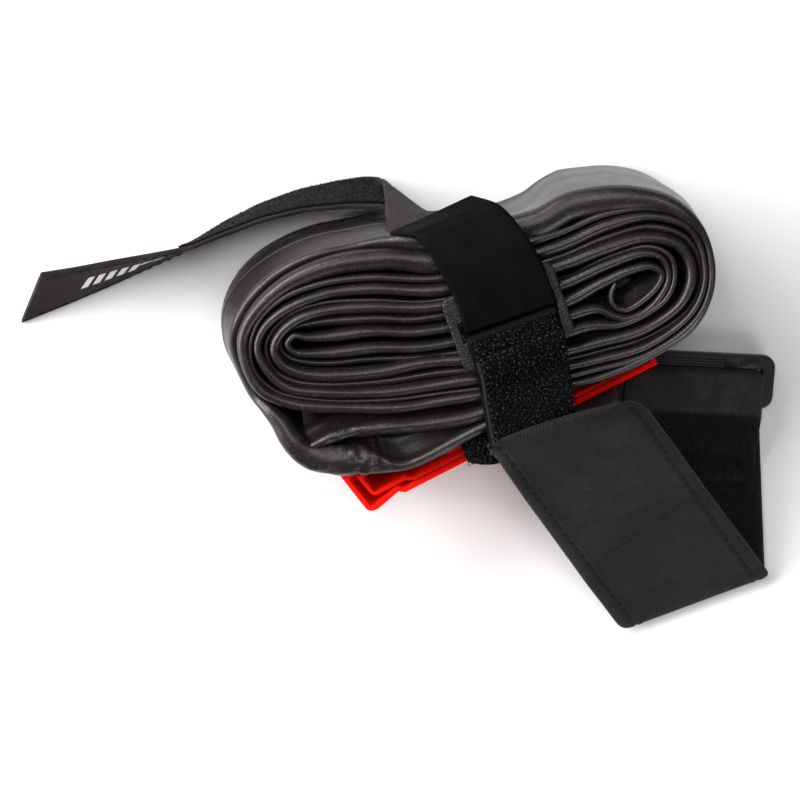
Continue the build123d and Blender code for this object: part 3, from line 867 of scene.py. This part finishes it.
# ---- free end: folded on the slant behind the roll, then standing on edge towards -X
TAIL_EDGES = [
    ((-17.6, 37.4, 52), (10.4, 40.6, 51.4)), ((-17.4, 42.2, 42), (6.5, 37.2, 46.5)),
    ((-16, 45.4, 30), (2.4, 34.8, 42)), ((-15.2, 47.6, 14), (-0.6, 34.4, 39.6)),
    ((-15.4, 49, 1.8), (-2.9, 34.8, 38.2)), ((-15.8, 48.8, 0.9), (-4, 35, 37)),
    ((-18, 49.6, 0.6), (-9.8, 38.8, 34.6)), ((-21, 50.3, 0.5), (-17, 42.8, 31.2)),
    # standing on edge
    ((-29, 50.9, 0.4), (-28, 46, 30.2)), ((-42, 51.2, 0.4), (-43, 48.5, 30)),
    ((-56, 50, 0.4), (-56.5, 49.1, 30)), ((-68, 47.3, 0.4), (-68.5, 47.9, 30)),
    ((-80, 43, 0.4), (-80, 46.2, 29.6)), ((-110, 37.6, 0.4), (-107, 48.6, 27.6)),
    ((-142.5, 33.2, 0.4), (-129, 50, 21.6)),
]
HOOK_FACE, PRINT_FACE = -1, 1.0
HOOKS_END = -84.0  # x at which the free end's own hook tape stops
BAR_COUNT = 7  # slanted bars, printed in place of lettering
BAR_START = -90.0  # x at which the row of bars starts
BAR_STEP, BAR_WIDTH = 4, 2.4
# where each bar starts across the free end, and its length
BAR_SPANS = ((2.2, 2.6),) * 2 + ((-3.6, 8.4),) * (BAR_COUNT - 2)
BAR_FACES = ((1, 3, 5, 7), (0, 6, 4, 2), (0, 2, 3, 1), (2, 4, 5, 3), (4, 6, 7, 5), (6, 0, 1, 7))
BORDER = 2.6  # distance of the border's sewn lines from the edge


def along_at(strap, x):
    """Length along a strap that runs towards -X at which its middle reaches x."""
    return float(np.interp(-x, -strap.middle[:, 0], strap.length))


def sewn_borders(u, v):
    """Depth to which the border's sewn lines are pulled into the free end."""
    return -0.22 * np.exp(-(((np.abs(u) - STRAP_WIDTH / 2 + BORDER) / 0.7) ** 2))


def make_tail():
    tail = strap_between(TAIL_EDGES, STRAP_THICK, step=0.7, radius=1.6, sag=0.2, seed=8)
    piece = tail.mesh("tube_strap_free_end", TAIL_CLOTH, 61, sewn_borders)
    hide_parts("tube_strap_tail")
    half = STRAP_WIDTH / 2
    hooks_from = along_at(tail, -15)
    hooks_to = along_at(tail, HOOKS_END)
    tip = tail.length[-1]
    tape = tape_on(tail, hooks_from, hooks_to, half - 1.7, 0.6, HOOK_FACE)
    backing = tape.mesh("free_end_hook_backing", TAPE, 25)
    hooks = bristles("free_end_hooks", tape, (-half + 2.4, half - 2.4, 0.5, hooks_to - hooks_from - 0.5),
                     HOOK_FACE, spacing=0.75, height=0.36, bend=1, radius=0.15, look=HOOKS, seed=33)
    edge = half - BORDER
    runs = [(tail, sign * edge, hooks_to, sign * edge, tip - 4, PRINT_FACE) for sign in (-1, 1)]
    runs += [(tail, -edge, tip - back, edge, tip - back, PRINT_FACE) for back in (3, 5.6)]
    seam = stitches("free_end_stitches", runs, THREAD, thickness=0.36, length=2.6, gap=0.7)
    points, faces = [], []
    for index, (low, tall) in enumerate(BAR_SPANS):
        start = along_at(tail, BAR_START) + index * BAR_STEP
        for rise, ahead in ((0, 1), (0, 2), (tall, 1), (tall, 0)):
            for lift in (-0.03, 0.06):
                points.append(tail.point(low + rise, start + ahead * BAR_WIDTH, lift, PRINT_FACE)[0])
        faces += [tuple(index * 8 + corner for corner in face) for face in BAR_FACES]
    bars = mesh_piece("free_end_printed_bars", points, faces, PRINT)
    for part in (piece, backing, hooks, seam, bars):
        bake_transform(part)


make_tube_strap()
make_tail()

# ---- frame strap
FRAME_OUT = FRONT - STRAP_THICK / 2 - CLEAR - FRAME_THICK / 2
FRAME_ALONG = 6.5
CREST = 59.8
FOLD = (52.5, -121, 2.4)
FOLD_TURN = 6.4
CREST_WIDTH = FRAME_WIDTH / math.cos(math.radians(10.6))
REST_GAP = 0.35  # the return flap's height above the surface
RETURN_Z = FRAME_THICK / 2 + REST_GAP
RETURN_WIDTH = FRAME_WIDTH - 4
PILE_WIDTH = 46.4
TAB_THICK = 1.2
LOOP_END_THICK = 1.6

wall_x, wall_y = beside_levers(FRAME_ALONG, FRAME_OUT)
end_x, end_y = beside_levers(FRAME_ALONG, 46)
# both edges of the front flap: from the crest to mid ramp, then down to its fold
RAMP_EDGES = [
    ((-5.6, -33, 59.8), (38.8, -31.6, 58.8)), ((-5.2, -35.2, 59.8), (43.6, -33.8, 58.2)),
    ((-4, -38.6, 58.6), (47, -38, 56.4)), ((1, -53.8, 47.4), (53, -51.6, 47.4)),
    ((8.4, -75.8, 31.6), (60.8, -72.4, 31.6)),
]
LOWER_EDGES = [
    ((16.2, -98.8, 16.8), (69.8, -94.5, 16.8)), ((24.6, -121.8, 3.4), (78.9, -117.2, 3.4)),
]
HEM, HEM_RISE = 6, 0.2
SEAM_IN = 4.4  # distance of the sewn line from the strap's edge
SEWN_DEPTH, SEWN_HALF = 0.3, 0.7
CREASE_AT = 11.5  # length at which the old crease crosses the lower part's middle
CREASE_SLANT = 0.4


def hems(u, v):
    """Height of the turned hems, with the sewn line pulled in."""
    edge = CREST_WIDTH / 2
    turned_in = HEM_RISE * smoothstep(edge - HEM - 1, edge - HEM, np.abs(u))
    return turned_in - SEWN_DEPTH * np.exp(-(((np.abs(u) - edge + SEAM_IN) / SEWN_HALF) ** 2))


def hems_and_crease(u, v):
    """The lower part's hems, and the slanting line where the strap was once folded."""
    return hems(u, v) - 0.2 * np.exp(-(((v - CREASE_AT + CREASE_SLANT * u) / 0.6) ** 2))


def raised_bar(along, out, half_length, half_width, floor, height):
    """Corner points and faces of a low bar with sloping sides on the wide ring."""
    points = []
    for level, shrink in ((floor - 0.2, 0), (floor + height * 0.5, 0), (floor + height, 0.18)):
        for sign_a, sign_o in CORNERS:
            x, y = in_buckle(along + sign_a * (half_length - shrink), out + sign_o * (half_width - shrink))
            points.append((x, y, level))
    return points, [(0, 3, 2, 1), (8, 9, 10, 11), *side_faces(3, 4)]


def make_ring_details():
    """Ribs, a small plate and a round mark moulded on the wide ring's upper bar."""
    top = BUCKLE_FLOOR + BUCKLE_THICK
    points, faces = [], []
    bars = [(-7, 4.95 + 0.95 * row, 16.5, 0.34, top, 0.35) for row in range(4)]
    bars.append((15.6, 6.4, 5.6, 1.9, top, 0.4))
    for bar in bars:
        bar_points, bar_faces = raised_bar(*bar)
        faces += [tuple(len(points) + corner for corner in face) for face in bar_faces]
        points += bar_points
    around, section = 28, 8
    start = len(points)
    for k in range(around):
        turn = 2 * math.pi * k / around
        for j in range(section):
            tilt = 2 * math.pi * j / section
            reach = 1.05 + 0.16 * math.cos(tilt)
            x, y = in_buckle(16.4 + reach * math.cos(turn), 6.4 + reach * math.sin(turn))
            points.append((x, y, top + 0.42 + 0.16 * math.sin(tilt)))
    for k in range(around):
        for j in range(section):
            a, b = start + k * section, start + (k + 1) % around * section
            faces.append((a + j, b + j, b + (j + 1) % section, a + (j + 1) % section))
    details = mesh_piece("frame_strap_ring_details", points, faces, SATIN)
    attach(details, "ring")


def frame_seam(name, strap, start, end):
    """The sewn lines along both edges of the frame strap's outside."""
    edge = CREST_WIDTH / 2 - SEAM_IN
    runs = [(strap, sign * edge, start, sign * edge, end, -1) for sign in (-1, 1)]
    return stitches(name, runs, THREAD, thickness=0.62, length=3.2, gap=0.9)


def make_frame_strap():
    upper = strap_between([
        edge_pair(end_x, end_y, FRAME_THICK / 2 + 0.3, LEVER_TURN, CREST_WIDTH),
        edge_pair(wall_x, wall_y, FRAME_THICK / 2 + 0.3, LEVER_TURN, CREST_WIDTH),
        edge_pair(wall_x, wall_y + 0.3, CREST - 10, 7, CREST_WIDTH - 8),
        ((-4.6, -33.6, CREST - 1), (36.6, -32, CREST - 2.6)),
        *RAMP_EDGES,
    ], FRAME_THICK, step=0.8, radius=1.6, sag=0.1, seed=12)
    lower = strap_between([
        RAMP_EDGES[-1], *LOWER_EDGES,
        edge_pair(FOLD[0], FOLD[1] + 0.4, RETURN_Z, FOLD_TURN, RETURN_WIDTH + 2),
        edge_pair(*in_buckle(1.6, -26), RETURN_Z, -15.5, RETURN_WIDTH),
        edge_pair(*in_buckle(0.8, -18), RETURN_Z, BUCKLE_TURN, RETURN_WIDTH),
    ], FRAME_THICK, step=0.8, radius=1.6, sag=0.1, seed=12)
    crest_at = upper.length[int(np.argmax(upper.middle[:, 2]))]
    upper.cup_near(crest_at + 3, 2.2, 12)
    top_piece = upper.mesh("frame_strap_upper", FRAME_CLOTH, 81, hems)
    low_piece = lower.mesh("frame_strap_lower", FRAME_CLOTH, 81, hems_and_crease)
    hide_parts("frame_strap_base", "frame_strap_front_flap")
    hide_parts("frame_strap_return_flap")
    fold_at = lower.length[int(np.argmin(lower.middle[:, 1]))]
    top_seam = frame_seam("frame_strap_upper_stitches", upper, crest_at + 1.5, upper.length[-1] - 0.4)
    low_seam = frame_seam("frame_strap_lower_stitches", lower, 0.4, fold_at - 3)
    for piece in (top_piece, top_seam):
        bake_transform(piece)
    for piece in (low_piece, low_seam):
        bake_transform(piece)
    # the tab that holds the wide ring, and the loop tape that runs over the return flap onto it
    tab_z = RETURN_Z + FRAME_THICK / 2 + TAB_THICK / 2 + 0.05
    top = BUCKLE_FLOOR + BUCKLE_THICK + 1.7
    tab_route = ((-32, tab_z, 47.6), (-26, tab_z, 47.6), (-11, top, 47.2), (-3.6, top, 46.8),
                 (2, top - 0.3, 46.8), (3.1, 6.6, 45.4), (3.1, 1.5, 45.2), (-4.6, 1.2, 45.2))
    tab = strap_along([(*in_buckle(0, out), z, BUCKLE_TURN, width) for out, z, width in tab_route],
                      TAB_THICK, step=0.6, radius=0.8, sag=0.1, seed=14)
    # the tab wears the paler copy of the frame fabric, with painted light in its colour
    tab_piece = tab.mesh("frame_strap_tab", TAB_CLOTH_LIT, 61)
    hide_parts("frame_strap_ring_tab")
    on_flap = RETURN_Z + FRAME_THICK / 2 + TAPE_THICK / 2 + 0.1
    on_tab = TAB_THICK / 2 + TAPE_THICK / 2 + 0.1
    tape = strap_along([
        (53.4, -116.4, on_flap, 4, PILE_WIDTH), (*in_buckle(1, -36), on_flap, -16, PILE_WIDTH),
        *((*in_buckle(along, out), z + on_tab, BUCKLE_TURN, PILE_WIDTH)
          for along, out, z in ((0.4, -33, tab_z), (0.2, -26, tab_z), (0, -11.8, top - 0.2))),
    ], TAPE_THICK, step=0.8, radius=1.2, sag=0.1, seed=15)
    tape_piece = tape.mesh("frame_strap_loop_backing", PILE, 33)
    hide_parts("frame_strap_loop_tape")
    half = PILE_WIDTH / 2 - 0.3
    pile = bristles("frame_strap_loop_pile", tape, (-half, half, 0.1, tape.length[-1] + 0.4), 1,
                    spacing=0.62, height=0.8, bend=0.9, radius=0.1, look=PILE, seed=41)
    for piece, slot in ((tape_piece, "hook_and_loop"), (pile, "hook_and_loop"), (tab_piece, "frame_fabric")):
        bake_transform(piece)


def make_loop_end():
    """Crumpled hook-lined end that shows beside the front flap's left corner."""
    end = strap_along([
        (-12.4, -36.4, 50.2, -80, 8), (-8.6, -37.4, 52, -76, 10), (-3.4, -37.8, 51, -84, 11),
        (3, -37, 49, -90, 11),
    ], LOOP_END_THICK, step=0.5, radius=1.5, sag=0.8, seed=17)
    piece = end.mesh("frame_strap_loop_end", TAPE, 25)
    hooks = bristles("frame_strap_loop_end_hooks", end, (-4.6, 4.6, 0.3, end.length[-1] - 0.3), 1,
                     spacing=0.8, height=0.9, bend=0.8, radius=0.16, look=HOOKS, seed=51)
    for part in (piece, hooks):
        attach(part, "roll")


make_ring_details()
make_loop_end()
make_frame_strap()


# ---------- CAD nodes that stay, with their looks
for name, look in (("tyre_lever_outer", RED), ("tyre_lever_inner", RED), ("tube_strap_ring", PEBBLED),
                   ("frame_strap_ring", SATIN), ("valve_cap", SATIN), ("valve_patch", RUBBER),
                   ("valve_stem", METAL), ("valve_core", METAL), ("valve_core_nut", METAL),
                   ("rim_nut", METAL)):
    NODES[name].data.materials.clear()
    NODES[name].data.materials.append(look)
